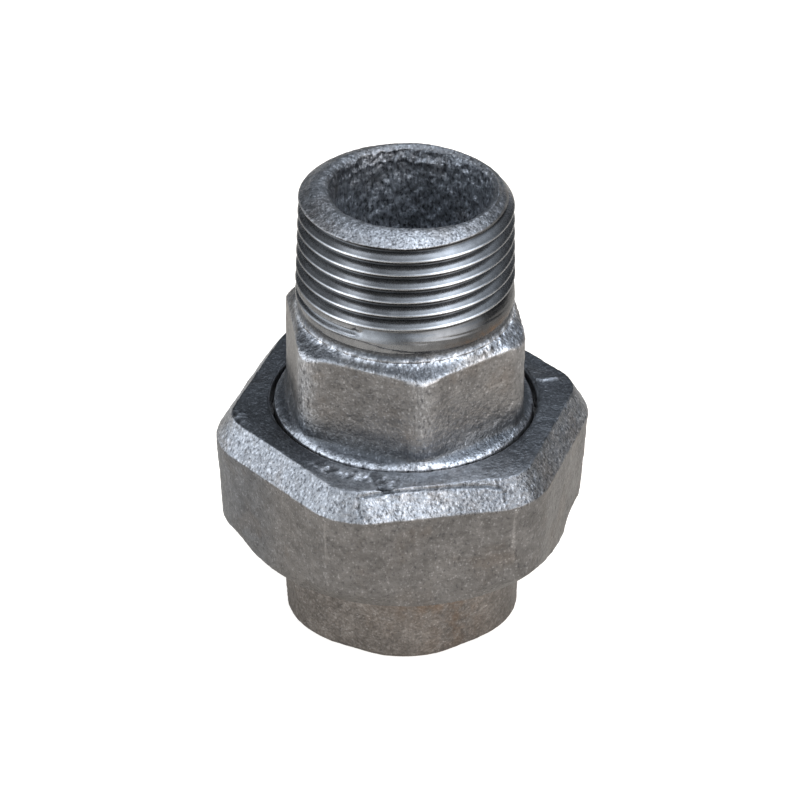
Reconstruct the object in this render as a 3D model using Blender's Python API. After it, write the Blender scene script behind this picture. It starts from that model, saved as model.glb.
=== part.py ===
"""Pipe union, male by female, nominal 1 inch, in four separate pieces.

The female end stands on its socket face with the pipe axis on +Z. The gasket lies
above its seat, the male tail's flange lies above the gasket, and the union nut
runs on the female end's thread and holds the flange down. Lengths are in
millimetres; the meshes are in metres. Angles are counted counterclockwise seen
from above, starting at -Y. Profiles are lists of (radius, z).
"""
from math import ceil, cos, floor, pi, radians, sin, tan

import bmesh
import bpy
import numpy as np

MM = 0.001
SHARP_DEG = 35         # edges bent more than this are shaded sharp
WELD_DISTANCE = 1e-7   # metres

# ---- pipe thread form: 11 turns per inch, 55 degree flanks, right hand
PITCH = 25.4 / 11.0
THREAD_DEPTH = 1.479
FLANK_RUN = THREAD_DEPTH * tan(radians(27.5))  # height of one flank
LAND = (PITCH - 2 * FLANK_RUN) / 2             # height of each crest and root

# ---- the two thread sizes, as radii
UNION_MAJOR_R = 47.803 / 2
UNION_PLAY = 0.33      # each thread of the pair is this far from its nominal size
BOSS_MAJOR_R = UNION_MAJOR_R - UNION_PLAY
BOSS_MINOR_R = BOSS_MAJOR_R - THREAD_DEPTH
NUT_MAJOR_R = UNION_MAJOR_R + UNION_PLAY
NUT_MINOR_R = NUT_MAJOR_R - THREAD_DEPTH
PIPE_MAJOR_R = 33.249 / 2
PIPE_MINOR_R = PIPE_MAJOR_R - THREAD_DEPTH

# ---- female end
BODY_APOTHEM, BODY_CORNER_R, BODY_CORNER_DEG = 18.25, 13.5, 4.0
BODY_CHAMFER = 0.6
NECK_Z = 13.6          # top of the plain body
SHOULDER_R, SHOULDER_TOP = 17.6, 16.3
SOCKET_DEPTH = 16.8
SEAT_Z, SEAT_BORE_R = 27.3, 12.4
SEAT_CHAMFER_H = 2.6

# ---- gasket
JOINT_GAP = 0.3        # between seat, gasket, flange and the nut's lip
GASKET_Z, GASKET_T = SEAT_Z + JOINT_GAP, 2.0
GASKET_INNER_R, GASKET_OUTER_R = SEAT_BORE_R, 21.8

# ---- male tail
FLANGE_Z, FLANGE_T, FLANGE_R = GASKET_Z + GASKET_T + JOINT_GAP, 3.0, 22.0
FLANGE_TOP = FLANGE_Z + FLANGE_T
COLLAR_R, COLLAR_EDGE_R = 20.05, 0.5
COLLAR_TOP = 36.3      # just above the top of the nut
FILLET_R, FILLET_TOP = 2.6, 39.2
CORE_R = 16.9          # round core inside the hexagon
TAIL_APOTHEM, TAIL_CORNER_R, TAIL_CORNER_DEG = 17.45, 4.75, 8.2
HEX_TOP = 51.4
BEAD_Z, BEAD_R, BEAD_ARC_R = 53.6, 17.5, 0.7
GROOVE_R = 15.35
THREAD_START = 55.0
RIM_Z, RIM_R = 72.85, 15.65          # outer edge of the sloping rim
TOP_Z, RIM_FLAT_R = 73.95, 13.7      # outer edge of the flat end
GAUGE_Z = TOP_Z - 10.4               # where the taper thread has its nominal size
TAPER = 1.0 / 32.0     # growth of the radius per unit of length, down the axis
TAIL_LEAD_IN = 0.466   # where the tail's thread starts, in turns
TAIL_BORE_R = 11.7
BORE_SHIFT = 1.2       # towards +X at the upper end of the bore cutter

# ---- union nut
NUT_BOTTOM, NUT_SHOULDER, NUT_TOP = 15.1, 32.0, 36.17
NUT_LIP = FLANGE_TOP + JOINT_GAP     # underside of the lip over the flange
NUT_HOLE_R, NUT_RELIEF_R = 20.74, 24.4
NUT_CORNER_R, NUT_CORNER_DEG = 10.6, -18.4
NUT_BLANK_R = 33.0     # clear of the nut's corners


# ---------------------------------------------------------------- helpers
def polar(radius, degrees, z):
    """Point in metres."""
    angle = radians(degrees)
    return (radius * sin(angle) * MM, -radius * cos(angle) * MM, z * MM)


def arc(centre_r, centre_z, radius, angles):
    """Profile points on an arc; angles in degrees, from outward towards up."""
    return [(centre_r + radius * cos(radians(angle)), centre_z + radius * sin(radians(angle)))
            for angle in angles]


def finish(build, name, origin_z=0.0):
    """Turn a bmesh into an object whose origin is on the pipe axis."""
    bmesh.ops.recalc_face_normals(build, faces=build.faces)
    bmesh.ops.translate(build, verts=build.verts, vec=(0, 0, -origin_z * MM))
    mesh = bpy.data.meshes.new(name)
    build.to_mesh(mesh)
    build.free()
    mesh.shade_smooth()
    mesh.set_sharp_from_angle(angle=radians(SHARP_DEG))
    obj = bpy.data.objects.new(name, mesh)
    obj.location = (0, 0, origin_z * MM)
    bpy.context.scene.collection.objects.link(obj)
    return obj


def turned(name, profile, steps, origin_z=0.0):
    """Solid of revolution: an open profile from axis to axis, or a closed one
    when its first and last points are the same."""
    build = bmesh.new()
    verts = [build.verts.new((0, -radius * MM, z * MM)) for radius, z in profile]
    edges = [build.edges.new(pair) for pair in zip(verts, verts[1:])]
    bmesh.ops.spin(build, geom=verts + edges, cent=(0, 0, 0), axis=(0, 0, 1),
                   angle=2 * pi, steps=steps, use_merge=True)
    bmesh.ops.remove_doubles(build, verts=build.verts, dist=WELD_DISTANCE)
    return finish(build, name, origin_z)


def rounded_hexagon(apothem, corner_r, z, corner_deg, arc_steps):
    """Points of a hexagon whose corners are arcs; one corner is at corner_deg."""
    centre_r = (apothem - corner_r) / cos(pi / 6)
    points = []
    for corner in range(6):
        middle = corner_deg + 60 * corner
        centre_x, centre_y, _ = polar(centre_r, middle, 0)
        for i in range(arc_steps + 1):
            x, y, _ = polar(corner_r, middle - 30 + 60 * i / arc_steps, 0)
            points.append((centre_x + x, centre_y + y, z * MM))
    return points


def hexagon_bar(name, levels, corner_deg, arc_steps, origin_z=0.0):
    """Hexagonal bar through levels of (z, apothem, corner radius)."""
    build = bmesh.new()
    loops = []
    for z, apothem, corner_r in levels:
        ring = [build.verts.new(point) for point in
                rounded_hexagon(apothem, corner_r, z, corner_deg, arc_steps)]
        loops.append([build.edges.new(pair) for pair in zip(ring, ring[1:] + ring[:1])])
        if len(loops) in (1, len(levels)):
            build.faces.new(ring)
    for low, high in zip(loops, loops[1:]):
        bmesh.ops.bridge_loops(build, edges=low + high)
    return finish(build, name, origin_z)


def threaded_rod(name, z_low, z_high, major, steps, z_ref=0.0, taper=0.0, lead_in=0.0):
    """Solid rod with the pipe thread form. major is the crest radius at z_ref; the
    radii grow by taper for each millimetre below it. Threads with the same
    lead_in, in turns, lie on one helix, so a rod and a tapped hole mesh."""
    minor = major - THREAD_DEPTH
    # One turn of the thread: (height from the middle of the crest, radius)
    ridge = [(-LAND / 2, major), (LAND / 2, major),
             (LAND / 2 + FLANK_RUN, minor), (PITCH - LAND / 2 - FLANK_RUN, minor)]
    # Spare turns at both ends cover the climb of one turn and the lead-in.
    turns = range(floor(z_low / PITCH) - 2, ceil(z_high / PITCH) + 2)

    build = bmesh.new()
    known = {}

    def vertex(i, radius, z):
        """Vertex shared by all points that fall on the same place."""
        point = polar(radius, 360.0 * i / steps, z)
        key = tuple(round(c * 1e8) for c in point)
        if key not in known:
            known[key] = build.verts.new(point)
        return known[key]

    columns = []
    for i in range(steps + 1):
        heights = [(turn + lead_in + i / steps) * PITCH + rise
                   for turn in turns for rise, _ in ridge]
        radii = [radius for _ in turns for _, radius in ridge]
        # Points beyond an end collapse onto it.
        inside = np.clip(heights, z_low, z_high)
        grown = np.interp(inside, heights, radii) + taper * (z_ref - inside)
        columns.append([vertex(i % steps, float(radius), float(z))
                        for radius, z in zip(grown, inside)])
    for left, right in zip(columns, columns[1:]):
        for j in range(len(left) - 1):
            # Collapsed corners are dropped, and so are faces left with two.
            corners = list(dict.fromkeys((left[j], right[j], right[j + 1], left[j + 1])))
            if len(corners) > 2 and build.faces.get(corners) is None:
                build.faces.new(corners)
    for end in (0, -1):
        build.faces.new([column[end] for column in columns[:-1]])
    return finish(build, name)


def combine(target, operation, *tools):
    """Join, cut or intersect target with each tool, and hide the tools."""
    for tool in tools:
        boolean = target.modifiers.new(tool.name, 'BOOLEAN')
        boolean.operation = operation
        boolean.object = tool
        tool.hide_render = True
        tool.display_type = 'WIRE'


def add_material(obj, name, colour, roughness, metallic):
    material = bpy.data.materials.new(name)
    material.use_nodes = True
    inputs = material.node_tree.nodes['Principled BSDF'].inputs
    inputs['Base Color'].default_value = (*colour, 1.0)
    inputs['Roughness'].default_value = roughness
    inputs['Metallic'].default_value = metallic
    obj.data.materials.append(material)


# ---------------------------------------------------------------- pieces
def make_female_end():
    # A short body, nearly round: a hexagon with very large corners.
    female_end = hexagon_bar(
        'female_end',
        [(0.0, BODY_APOTHEM - BODY_CHAMFER, BODY_CORNER_R),
         (BODY_CHAMFER, BODY_APOTHEM, BODY_CORNER_R),
         (NECK_Z, BODY_APOTHEM, BODY_CORNER_R)],
        BODY_CORNER_DEG, arc_steps=6)
    # Conical shoulder from the body up to the threaded boss.
    shoulder_top_r = BOSS_MINOR_R - 0.4
    shoulder = turned(
        'shoulder',
        [(0, NECK_Z - 1), (SHOULDER_R, NECK_Z - 1), (SHOULDER_R, NECK_Z - 0.6),
         (shoulder_top_r, SHOULDER_TOP), (shoulder_top_r, SHOULDER_TOP + 1.6),
         (0, SHOULDER_TOP + 1.6)],
        steps=48)
    boss = threaded_rod('boss', SHOULDER_TOP + 0.7, SEAT_Z, BOSS_MAJOR_R, steps=36)
    # Outer limit that chamfers the seat's edge, across the first threads.
    blank_r = 26
    seat_blank = turned(
        'seat_blank',
        [(0, -2), (blank_r, -2), (blank_r, SEAT_Z - SEAT_CHAMFER_H),
         (BOSS_MINOR_R - 0.2, SEAT_Z), (0, SEAT_Z)],
        steps=40)
    # Flared mouth, socket, and a cone up to the narrower seat bore.
    socket_r = PIPE_MINOR_R + 0.05
    female_bore = turned(
        'female_bore',
        [(0, -1), (PIPE_MAJOR_R + 1.3, -1), (PIPE_MAJOR_R + 0.25, 0.05),
         (socket_r, 1.6), (socket_r, SOCKET_DEPTH),
         (SEAT_BORE_R, SOCKET_DEPTH + 2.2), (SEAT_BORE_R, SEAT_Z + 1), (0, SEAT_Z + 1)],
        steps=40)
    socket_tap = threaded_rod('socket_tap', -1.2, SOCKET_DEPTH - 1.2, PIPE_MAJOR_R, steps=36)
    combine(female_end, 'UNION', shoulder, boss)
    combine(female_end, 'INTERSECT', seat_blank)
    combine(female_end, 'DIFFERENCE', female_bore, socket_tap)
    add_material(female_end, 'malleable_iron_female',
                 colour=(0.21, 0.20, 0.19), roughness=0.55, metallic=0.75)


def make_gasket():
    gasket_top = GASKET_Z + GASKET_T
    gasket = turned(
        'gasket',
        [(GASKET_INNER_R, GASKET_Z), (GASKET_OUTER_R, GASKET_Z),
         (GASKET_OUTER_R, gasket_top), (GASKET_INNER_R, gasket_top),
         (GASKET_INNER_R, GASKET_Z)],
        steps=48, origin_z=GASKET_Z)
    add_material(gasket, 'gasket_rubber',
                 colour=(0.03, 0.03, 0.03), roughness=0.8, metallic=0.0)
    return gasket


def make_tail_core():
    """Cutter for the through-bore, which leans to one side as it rises."""
    build = bmesh.new()
    bmesh.ops.create_circle(build, cap_ends=True, segments=40, radius=TAIL_BORE_R * MM)
    bmesh.ops.translate(build, verts=build.verts, vec=(0, 0, (FLANGE_Z - 1) * MM))
    wall = bmesh.ops.extrude_face_region(build, geom=list(build.faces))
    lifted = [item for item in wall['geom'] if isinstance(item, bmesh.types.BMVert)]
    bmesh.ops.translate(build, verts=lifted,
                        vec=(BORE_SHIFT * MM, 0, (TOP_Z + 2 - FLANGE_Z) * MM))
    return finish(build, 'tail_core')


def make_male_tail():
    # Flange, collar, fillet, round core, bead and groove, from the bottom up.
    male_tail = turned(
        'male_tail',
        [(0, FLANGE_Z), (FLANGE_R, FLANGE_Z), (FLANGE_R, FLANGE_TOP), (COLLAR_R, FLANGE_TOP),
         *arc(COLLAR_R - COLLAR_EDGE_R, COLLAR_TOP - COLLAR_EDGE_R, COLLAR_EDGE_R,
              (0, 45, 90)),
         *arc(CORE_R + FILLET_R, FILLET_TOP, FILLET_R, (260, 230, 200, 180)),
         (CORE_R, HEX_TOP + 1.0),
         *arc(BEAD_R - BEAD_ARC_R, BEAD_Z, BEAD_ARC_R, (-60, -20, 20, 60)),
         (GROOVE_R, BEAD_Z + 1.2), (GROOVE_R, THREAD_START + 0.6), (0, THREAD_START + 0.6)],
        steps=48, origin_z=FLANGE_Z)
    tail_hexagon = hexagon_bar(
        'tail_hexagon',
        [(COLLAR_TOP - 0.8, TAIL_APOTHEM, TAIL_CORNER_R),
         (HEX_TOP - 0.2, TAIL_APOTHEM, TAIL_CORNER_R),
         (HEX_TOP + 0.7, TAIL_APOTHEM - 0.75, TAIL_CORNER_R + 0.8),
         (BEAD_Z - 0.3, TAIL_APOTHEM - 1.6, TAIL_CORNER_R + 6.0)],
        TAIL_CORNER_DEG, arc_steps=4)
    tail_thread = threaded_rod(
        'tail_thread', THREAD_START - 0.4, TOP_Z + 0.5, PIPE_MAJOR_R, steps=40,
        z_ref=GAUGE_Z, taper=TAPER, lead_in=TAIL_LEAD_IN)
    # Outer limit that trims the thread's crests and gives the sloping rim.
    clear_r = 24
    tail_blank = turned(
        'tail_blank',
        [(0, FLANGE_Z - 3), (clear_r, FLANGE_Z - 3), (clear_r, 50), (18.6, 54.6),
         (16.95, 56.0), (16.40, RIM_Z - 0.4), (RIM_R, RIM_Z), (RIM_FLAT_R, TOP_Z),
         (0, TOP_Z)],
        steps=48)
    tail_core = make_tail_core()
    combine(male_tail, 'UNION', tail_hexagon, tail_thread)
    combine(male_tail, 'INTERSECT', tail_blank)
    combine(male_tail, 'DIFFERENCE', tail_core)
    add_material(male_tail, 'malleable_iron_tail',
                 colour=(0.23, 0.23, 0.24), roughness=0.5, metallic=0.8)
    return male_tail


def make_union_nut():
    # Widens slightly up to the shoulder, then slopes in to the top.
    union_nut = hexagon_bar(
        'union_nut',
        [(NUT_BOTTOM - 1.0, 25.95, NUT_CORNER_R), (NUT_SHOULDER, 26.8, NUT_CORNER_R),
         (NUT_TOP, 24.1, 6.3)],
        NUT_CORNER_DEG, arc_steps=4, origin_z=NUT_BOTTOM)
    # Outer limit that turns off the lower corners.
    nut_blank = turned(
        'nut_blank',
        [(0, NUT_BOTTOM), (25.9, NUT_BOTTOM), (28.2, NUT_BOTTOM + 1.1),
         (NUT_BLANK_R, NUT_BOTTOM + 5.0), (NUT_BLANK_R, NUT_TOP + 1.5), (0, NUT_TOP + 1.5)],
        steps=40)
    # Flared mouth, thread bore, relief under the lip, and the hole in the lip.
    nut_bore = turned(
        'nut_bore',
        [(0, NUT_BOTTOM - 1), (UNION_MAJOR_R + 1.5, NUT_BOTTOM - 1),
         (NUT_MINOR_R, NUT_BOTTOM + 1.9), (NUT_MINOR_R, NUT_LIP - 4.8),
         (NUT_RELIEF_R, NUT_LIP - 4.2), (NUT_RELIEF_R, NUT_LIP),
         (NUT_HOLE_R, NUT_LIP), (NUT_HOLE_R, NUT_TOP + 1), (0, NUT_TOP + 1)],
        steps=40)
    nut_tap = threaded_rod('nut_tap', NUT_BOTTOM - 1.1, NUT_LIP - 3.9, NUT_MAJOR_R, steps=36)
    combine(union_nut, 'INTERSECT', nut_blank)
    combine(union_nut, 'DIFFERENCE', nut_bore, nut_tap)
    add_material(union_nut, 'malleable_iron_nut',
                 colour=(0.22, 0.21, 0.20), roughness=0.5, metallic=0.8)
    return union_nut


# ---------------------------------------------------------------- assembly
for old in list(bpy.data.objects):
    bpy.data.objects.remove(old, do_unlink=True)

make_female_end()
loose_pieces = [make_gasket(), make_male_tail(), make_union_nut()]

# Moving this empty moves the gasket, the tail and the nut together.
opening = bpy.data.objects.new('opening', None)
opening.empty_display_size = 0.03
bpy.context.scene.collection.objects.link(opening)
for piece in loose_pieces:
    piece.parent = opening
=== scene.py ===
"""A pipe union of black malleable iron, standing upright on its female end, with the pipe axis on Z.

From the floor up: the female end, the rubber seal ring, the male tail, and the union nut round
them. Each piece is a loft of rings round the axis, with helical threads and a sand-cast skin.
Meshes are worked out in millimetres and written in metres. Angles start at the front (-Y) and
count counterclockwise seen from above, so +X is at 90 degrees.
"""

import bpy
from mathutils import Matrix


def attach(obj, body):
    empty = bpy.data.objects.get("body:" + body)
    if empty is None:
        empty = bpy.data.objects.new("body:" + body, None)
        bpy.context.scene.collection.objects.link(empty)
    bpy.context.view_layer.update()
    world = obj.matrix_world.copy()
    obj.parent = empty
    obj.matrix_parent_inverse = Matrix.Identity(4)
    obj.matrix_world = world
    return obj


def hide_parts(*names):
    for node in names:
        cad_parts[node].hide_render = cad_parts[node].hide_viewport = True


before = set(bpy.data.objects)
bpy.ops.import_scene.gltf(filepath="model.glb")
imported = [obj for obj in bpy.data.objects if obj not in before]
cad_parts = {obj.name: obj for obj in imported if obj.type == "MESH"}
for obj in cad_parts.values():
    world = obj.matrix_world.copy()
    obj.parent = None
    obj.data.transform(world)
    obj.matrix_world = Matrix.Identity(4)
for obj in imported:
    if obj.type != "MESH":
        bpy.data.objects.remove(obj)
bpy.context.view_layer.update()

import math
from collections import namedtuple

import bpy
import numpy as np
from mathutils import Matrix, Vector

MM = 0.001
TAU = 2 * math.pi
DETAIL = 1.0      # share of the full ring density

# Rounded 55 degree thread, 11 turns to the inch
PITCH = 25.4 / 11.0
HALF = PITCH / 2
HALF_FORM = 27.5                         # degrees from a flank to the square of the axis
ROUNDING = 0.137329 * PITCH              # radius of crests and roots
THREAD_DEPTH = 0.640327 * PITCH
TIP = ROUNDING * math.sin(math.radians(90 - HALF_FORM))      # half width of a rounded crest
TIP_DROP = ROUNDING * (1 - math.cos(math.radians(90 - HALF_FORM)))
PIPE_R = 33.249 / 2                      # crest radius of the pipe thread at its gauge plane

# Heights of the mesh rows of one turn, from crest to crest
TURN_ROWS = [0, 0.17, TIP, HALF / 2, HALF - TIP, HALF - 0.13, HALF + 0.13,
             HALF + TIP, PITCH - HALF / 2, PITCH - TIP, PITCH - 0.17]
TURN_ROWS_PLAIN = [0.0, TIP, HALF - TIP, HALF, HALF + TIP, PITCH - TIP]

# Parts of a loft, kept per point
OUTSIDE, THREAD, BORE = 1, 2, 3


# ------------------------------------------------------------------ fields
_rng = np.random.default_rng(11)
_gradients = _rng.normal(size=(1024, 3))
_gradients /= np.linalg.norm(_gradients, axis=1)[:, None]
_shuffle = _rng.permutation(1024)


def noise(points, size, seed=0):
    """Gradient noise, about -1 to 1, whose lumps are about `size` mm across."""
    grid = points / size + 31.7 * seed + 5.3
    cell = np.floor(grid).astype(np.int64)
    part = grid - cell
    fade = part * part * part * (part * (part * 6 - 15) + 10)
    total = np.zeros(len(grid))
    for dx in (0, 1):
        hash_x = _shuffle[(cell[:, 0] + dx) & 1023]
        weight_x = fade[:, 0] if dx else 1 - fade[:, 0]
        for dy in (0, 1):
            hash_y = _shuffle[(hash_x + cell[:, 1] + dy) & 1023]
            weight_y = weight_x * (fade[:, 1] if dy else 1 - fade[:, 1])
            for dz in (0, 1):
                slope = _gradients[_shuffle[(hash_y + cell[:, 2] + dz) & 1023]]
                dot = (slope[:, 0] * (part[:, 0] - dx) + slope[:, 1] * (part[:, 1] - dy)
                       + slope[:, 2] * (part[:, 2] - dz))
                total += dot * weight_y * (fade[:, 2] if dz else 1 - fade[:, 2])
    return total * 1.7


def smooth(start, end, x):
    """Smooth step from 0 at start to 1 at end. The start may be the larger."""
    t = np.clip((x - start) / (end - start), 0, 1)
    return t * t * (3 - 2 * t)


def bell(x, middle, width, power=2):
    return np.exp(-((x - middle) / width) ** power)


def soft_min(a, b, blend):
    share = np.clip(0.5 + 0.5 * (b - a) / blend, 0, 1)
    return b + (a - b) * share - blend * share * (1 - share)


def soft_max(a, b, blend):
    return -soft_min(-a, -b, blend)


def wrap(deg):
    """Angle difference in degrees, -180 to 180."""
    return (deg + 180) % 360 - 180


# ------------------------------------------------------------------ outlines
def hexagon(phi, apothem, corner_r, corner_deg):
    """Radius of a round-cornered hexagon at angle phi."""
    sixth = math.pi / 6
    off_corner = np.abs((phi - math.radians(corner_deg) + sixth) % (2 * sixth) - sixth)
    centre = (apothem - corner_r) / math.cos(sixth)
    arc_end = math.atan2(corner_r * 0.5, centre + corner_r * math.cos(sixth))
    arc = centre * np.cos(off_corner) + np.sqrt(
        np.maximum(corner_r ** 2 - (centre * np.sin(off_corner)) ** 2, 0))
    return np.where(off_corner < arc_end, arc, apothem / np.cos(sixth - off_corner))


def from_crest(x):
    """Axial distance to the nearest crest, positive above it."""
    return (x + HALF) % PITCH - HALF


def thread_depth(x):
    """Depth of the standard form below its crest, x mm along the axis from a crest's middle."""
    x = np.abs(from_crest(x))
    y = HALF - x
    tip = ROUNDING - np.sqrt(np.maximum(ROUNDING ** 2 - np.minimum(x, TIP) ** 2, 0))
    root = (THREAD_DEPTH - ROUNDING
            + np.sqrt(np.maximum(ROUNDING ** 2 - np.minimum(y, TIP) ** 2, 0)))
    flank = TIP_DROP + (x - TIP) / math.tan(math.radians(HALF_FORM))
    return np.where(x < TIP, tip, np.where(y < TIP, root, flank))


# ------------------------------------------------------------------ loft
# Corner of a profile. fillet rounds it; kind (0 cast, 1 machined), skin (strength of the cast
# skin) and spacing (of rings) hold for the stretch that ends here. hexness goes from 0, round,
# to 1, a hexagon whose apothem is the radius and whose corners have radius `corner`.
Station = namedtuple("Station", "radius z fillet kind skin spacing hexness corner",
                     defaults=(0, 4.75))


def sum_at(index, vectors, count):
    """Sum of the vectors that share an index."""
    return np.column_stack([np.bincount(index, vectors[:, axis], count) for axis in range(3)])


def link(name, data):
    obj = bpy.data.objects.new(name, data)
    bpy.context.scene.collection.objects.link(obj)
    return obj


class Loft:
    """Closed surface made ring by ring. The rings run from the inner bottom edge outwards, up
    the outside, over the top and down the bore, back to the first."""

    def __init__(self, columns, corner_deg=0.0, clip=None):
        self.columns = max(96, int(columns * DETAIL) // 4 * 4)
        self.phi = np.arange(self.columns) * TAU / self.columns
        self.corner_deg = corner_deg
        self.clip = clip
        self.co, self.kind, self.skin, self.part = [], [], [], []
        self.quads, self.tris = [], []
        self.count, self.first, self.last = 0, None, None

    def add(self, phi, radius, z, kind, skin, part):
        """Add points and return their indices."""
        self.co.append(np.column_stack([radius * np.sin(phi), -radius * np.cos(phi),
                                        np.broadcast_to(z, phi.shape)]))
        for store, value in ((self.kind, kind), (self.skin, skin), (self.part, part)):
            store.append(np.full(len(phi), value, float))
        self.count += len(phi)
        return np.arange(self.count - len(phi), self.count)

    def bridge(self, a, b):
        self.quads.append(np.column_stack([a, np.roll(a, -1), np.roll(b, -1), b]))

    def profile(self, start, rows, part):
        """Rings along a path from start (radius, z) through rows of Station values."""
        stations = [Station(*start, 0, 0, 0, 0)] + [Station(*row) for row in rows]
        places = [np.array([s.radius, s.z], float) for s in stations]
        shapes = [np.array([s.hexness, s.corner], float) for s in stations]
        # place, hexness and corner radius, station that gives kind and skin
        samples = [(places[0], shapes[0], stations[1])]
        for i in range(1, len(stations)):
            here = stations[i]
            before, corner = places[i - 1], places[i]
            shape_step = shapes[i] - shapes[i - 1]
            length = np.linalg.norm(corner - before)
            done = samples[-1][0] - before
            from_t = float(np.clip(np.dot(done, corner - before) / length ** 2, 0, 1))
            cut = 0.0
            if i + 1 < len(stations) and here.fillet > 0:
                after = stations[i + 1]
                reach = np.linalg.norm(places[i + 1] - corner)
                way_out = (places[i + 1] - corner) / reach
                cosine = np.dot((corner - before) / length, way_out)
                angle = math.acos(float(np.clip(cosine, -1, 1)))
                cut = min(here.fillet * math.tan(angle / 2), 0.48 * length, 0.48 * reach)
            to_t = 1 - cut / length
            spacing = here.spacing / (0.6 + 0.4 * DETAIL)
            steps = max(1, int(math.ceil((to_t - from_t) * length / spacing)))
            for step in range(1, steps + 1):
                t = from_t + (to_t - from_t) * step / steps
                samples.append((before + (corner - before) * t,
                                shapes[i - 1] + shape_step * t, here))
            if cut > 0:
                arc_in, arc_out = before + (corner - before) * to_t, corner + way_out * cut
                shape_in = shapes[i - 1] + shape_step * to_t
                shape_out = shapes[i] + (shapes[i + 1] - shapes[i]) * (cut / reach)
                arc_spacing = 0.55 * min(here.spacing, after.spacing)
                steps = max(2, min(7, int(math.ceil(cut * 1.7 / arc_spacing))))
                for step in range(1, steps + 1):
                    t = step / steps
                    place = (1 - t) ** 2 * arc_in + 2 * t * (1 - t) * corner + t * t * arc_out
                    samples.append((place, shape_in + (shape_out - shape_in) * t,
                                    here if t < 0.5 else after))
        for (size, z), (hexness, corner_r), station in samples:
            radius = np.full(self.columns, size)
            if hexness > 0:
                outline = hexagon(self.phi, size, min(corner_r, size - 1), self.corner_deg)
                radius = size + hexness * (outline - size)
                if self.clip is not None:
                    radius = self.clip(radius, z)
            ring = self.add(self.phi, radius, z, station.kind, station.skin, part)
            if self.first is None:
                self.first = ring
            else:
                self.bridge(self.last, ring)
            self.last = ring

    def thread(self, z_from, z_to, crest_z, radius, rows, skin):
        """Rows that follow a right-hand helix from height z_from to z_to. crest_z is the height
        of a crest at angle 0, radius(phi, z, x) the surface's radius x mm from a crest."""
        way = 1 if z_to > z_from else -1
        rise = PITCH * self.phi / TAU

        def level_ring(z):
            level = np.full(self.columns, z)
            return self.add(self.phi, radius(self.phi, level, z - crest_z - rise), z,
                            1.0, skin, THREAD)

        low, high = level_ring(z_from), level_ring(z_to)
        self.bridge(self.last, low)
        self.last = high
        first_turn = int(math.floor((min(z_from, z_to) - crest_z) / PITCH)) - 2
        last_turn = int(math.ceil((max(z_from, z_to) - crest_z) / PITCH)) + 1
        base = np.array(sorted(crest_z + k * PITCH + row
                               for k in range(first_turn, last_turn + 1) for row in rows))[::way]
        z = base[:, None] + rise[None, :]
        # rows that reach or pass an end, or come this near to it, merge into its level ring
        near = 0.035
        before = (z - z_from) * way <= near
        after = (z_to - z) * way <= near
        index = np.where(before, low[None, :], np.where(after, high[None, :], -1))
        inside = index < 0
        row, column = np.nonzero(inside)
        phi = self.phi[column]
        index[inside] = self.add(phi, radius(phi, z[inside], (base - crest_z)[row]), z[inside],
                                 1.0, skin, THREAD)
        # after a full circle each row meets the row one turn further on
        seam = np.full(len(base), -1)
        for i in range(len(base)):
            k = i + way * len(rows)
            if 0 <= k < len(base):
                seam[i] = index[k, 0]
            else:
                seam[i] = low[0] if k < 0 else high[0]
        wide = np.column_stack([index, seam])
        a, b = wide[:-1, :-1], wide[:-1, 1:]
        d, c = wide[1:, :-1], wide[1:, 1:]
        quad = (a != d) & (b != c)
        self.quads.append(np.column_stack([a[quad], b[quad], c[quad], d[quad]]))
        shut_left = (a == d) & (b != c)
        self.tris.append(np.column_stack([a[shut_left], b[shut_left], c[shut_left]]))
        shut_right = (a != d) & (b == c)
        self.tris.append(np.column_stack([a[shut_right], b[shut_right], d[shut_right]]))

    def close(self):
        """Join the last ring to the first. z, angle and radius keep the shape as lofted."""
        self.bridge(self.last, self.first)
        self.co = np.concatenate(self.co)
        self.kind, self.skin, self.part = (np.concatenate(v)
                                           for v in (self.kind, self.skin, self.part))
        self.quads = np.concatenate(self.quads)
        self.tris = np.concatenate(self.tris) if self.tris else np.zeros((0, 3), int)
        self.z = self.co[:, 2].copy()
        self.angle = np.degrees(np.arctan2(self.co[:, 0], -self.co[:, 1]))
        self.radius = np.hypot(self.co[:, 0], self.co[:, 1])

    def normals(self):
        points = self.co
        total = np.zeros_like(points)
        for faces in (self.quads, self.tris):
            sides = faces.shape[1]
            # across the diagonals; in a triangle the fourth corner is the first again
            normal = np.cross(points[faces[:, 2]] - points[faces[:, 0]],
                              points[faces[:, 3 % sides]] - points[faces[:, 1]])
            for k in range(sides):
                total += sum_at(faces[:, k], normal, len(points))
        return total / np.maximum(np.linalg.norm(total, axis=1), 1e-12)[:, None]

    def convexity(self):
        """How much each point stands out from its neighbours, per mm, smoothed twice."""
        count = len(self.co)
        start, end = np.concatenate(
            [faces[:, [k, (k + 1) % faces.shape[1]]]
             for faces in (self.quads, self.tris) for k in range(faces.shape[1])]).T
        neighbours = np.bincount(start, minlength=count) + np.bincount(end, minlength=count)
        total, length = np.zeros_like(self.co), np.zeros(count)
        for a, b in ((start, end), (end, start)):
            step = self.co[b] - self.co[a]
            total += sum_at(a, step, count)
            length += np.bincount(a, (step ** 2).sum(1), count)
        out = -(total * self.normals()).sum(1) / np.maximum(length, 1e-9)
        for _ in range(2):
            around = np.bincount(start, out[end], count) + np.bincount(end, out[start], count)
            out = 0.5 * out + 0.5 * around / np.maximum(neighbours, 1)
        return out

    def push(self, distance):
        self.co = self.co + self.normals() * distance[:, None]

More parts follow.
